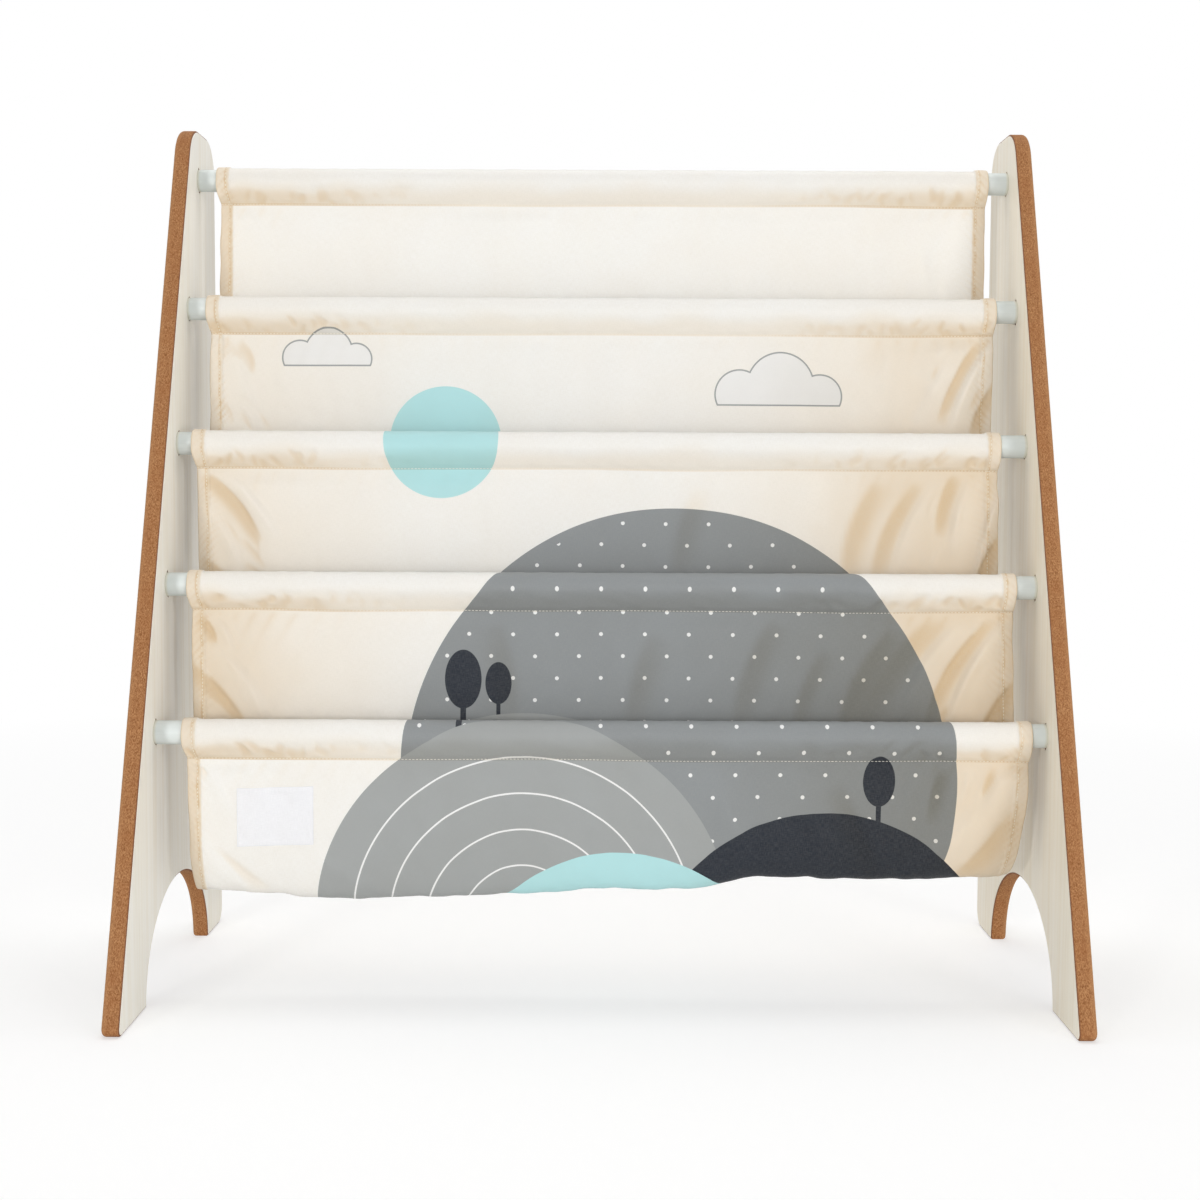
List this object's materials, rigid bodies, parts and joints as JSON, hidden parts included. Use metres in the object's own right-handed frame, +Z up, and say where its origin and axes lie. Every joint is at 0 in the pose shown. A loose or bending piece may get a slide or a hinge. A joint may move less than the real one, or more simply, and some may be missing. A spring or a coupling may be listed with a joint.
{
  "type": "sling bookshelf",
  "caption": "Low children's bookshelf: two flat side panels on arched feet hold round rods, and a cloth sling hangs over the rods in tiered open pockets.",
  "frame": {"origin": "on the floor, under the middle of the shelf's overall box", "axes": "+X to the right as seen from the front, along the rods; +Y to the back; +Z up"},
  "size_m": [0.616, 0.2928, 0.598],
  "materials": {
    "board": "bare sawn edge of brown fibreboard, fine-grained and matt",
    "panel_foil": "off-white decor foil with a fine vertical wood grain, satin",
    "rod_paint": "smooth pale grey-white paint on a dowel, satin",
    "bolt_steel": "zinc plated, satin",
    "insert_brass": "turned brass",
    "sling_cloth": "plain-woven cream cloth, matt, slightly translucent, with a printed pattern",
    "label_cloth": "blank white woven label"
  },
  "bodies": {
    "root": {"side_panel_core_left": "board", "panel_outer_foil_left": "panel_foil", "panel_inner_foil_left": "panel_foil", "side_panel_core_right": "board", "panel_outer_foil_right": "panel_foil", "panel_inner_foil_right": "panel_foil", "rod_1": "rod_paint", "rod_insert_1_left": "insert_brass", "rod_bolt_1_left": "bolt_steel", "rod_insert_1_right": "insert_brass", "rod_bolt_1_right": "bolt_steel", "rod_2": "rod_paint", "rod_insert_2_left": "insert_brass", "rod_bolt_2_left": "bolt_steel", "rod_insert_2_right": "insert_brass", "rod_bolt_2_right": "bolt_steel", "rod_3": "rod_paint", "rod_insert_3_left": "insert_brass", "rod_bolt_3_left": "bolt_steel", "rod_insert_3_right": "insert_brass", "rod_bolt_3_right": "bolt_steel", "rod_4": "rod_paint", "rod_insert_4_left": "insert_brass", "rod_bolt_4_left": "bolt_steel", "rod_insert_4_right": "insert_brass", "rod_bolt_4_right": "bolt_steel", "rod_5": "rod_paint", "rod_insert_5_left": "insert_brass", "rod_bolt_5_left": "bolt_steel", "rod_insert_5_right": "insert_brass", "rod_bolt_5_right": "bolt_steel", "sling_casing_1": "sling_cloth", "sling_casing_2": "sling_cloth", "sling_casing_3": "sling_cloth", "sling_casing_4": "sling_cloth", "sling_casing_5": "sling_cloth", "sling_pocket_1": "sling_cloth", "sling_pocket_2": "sling_cloth", "sling_pocket_3": "sling_cloth", "sling_pocket_4": "sling_cloth", "sling_label": "label_cloth"}
  },
  "joints": []
}
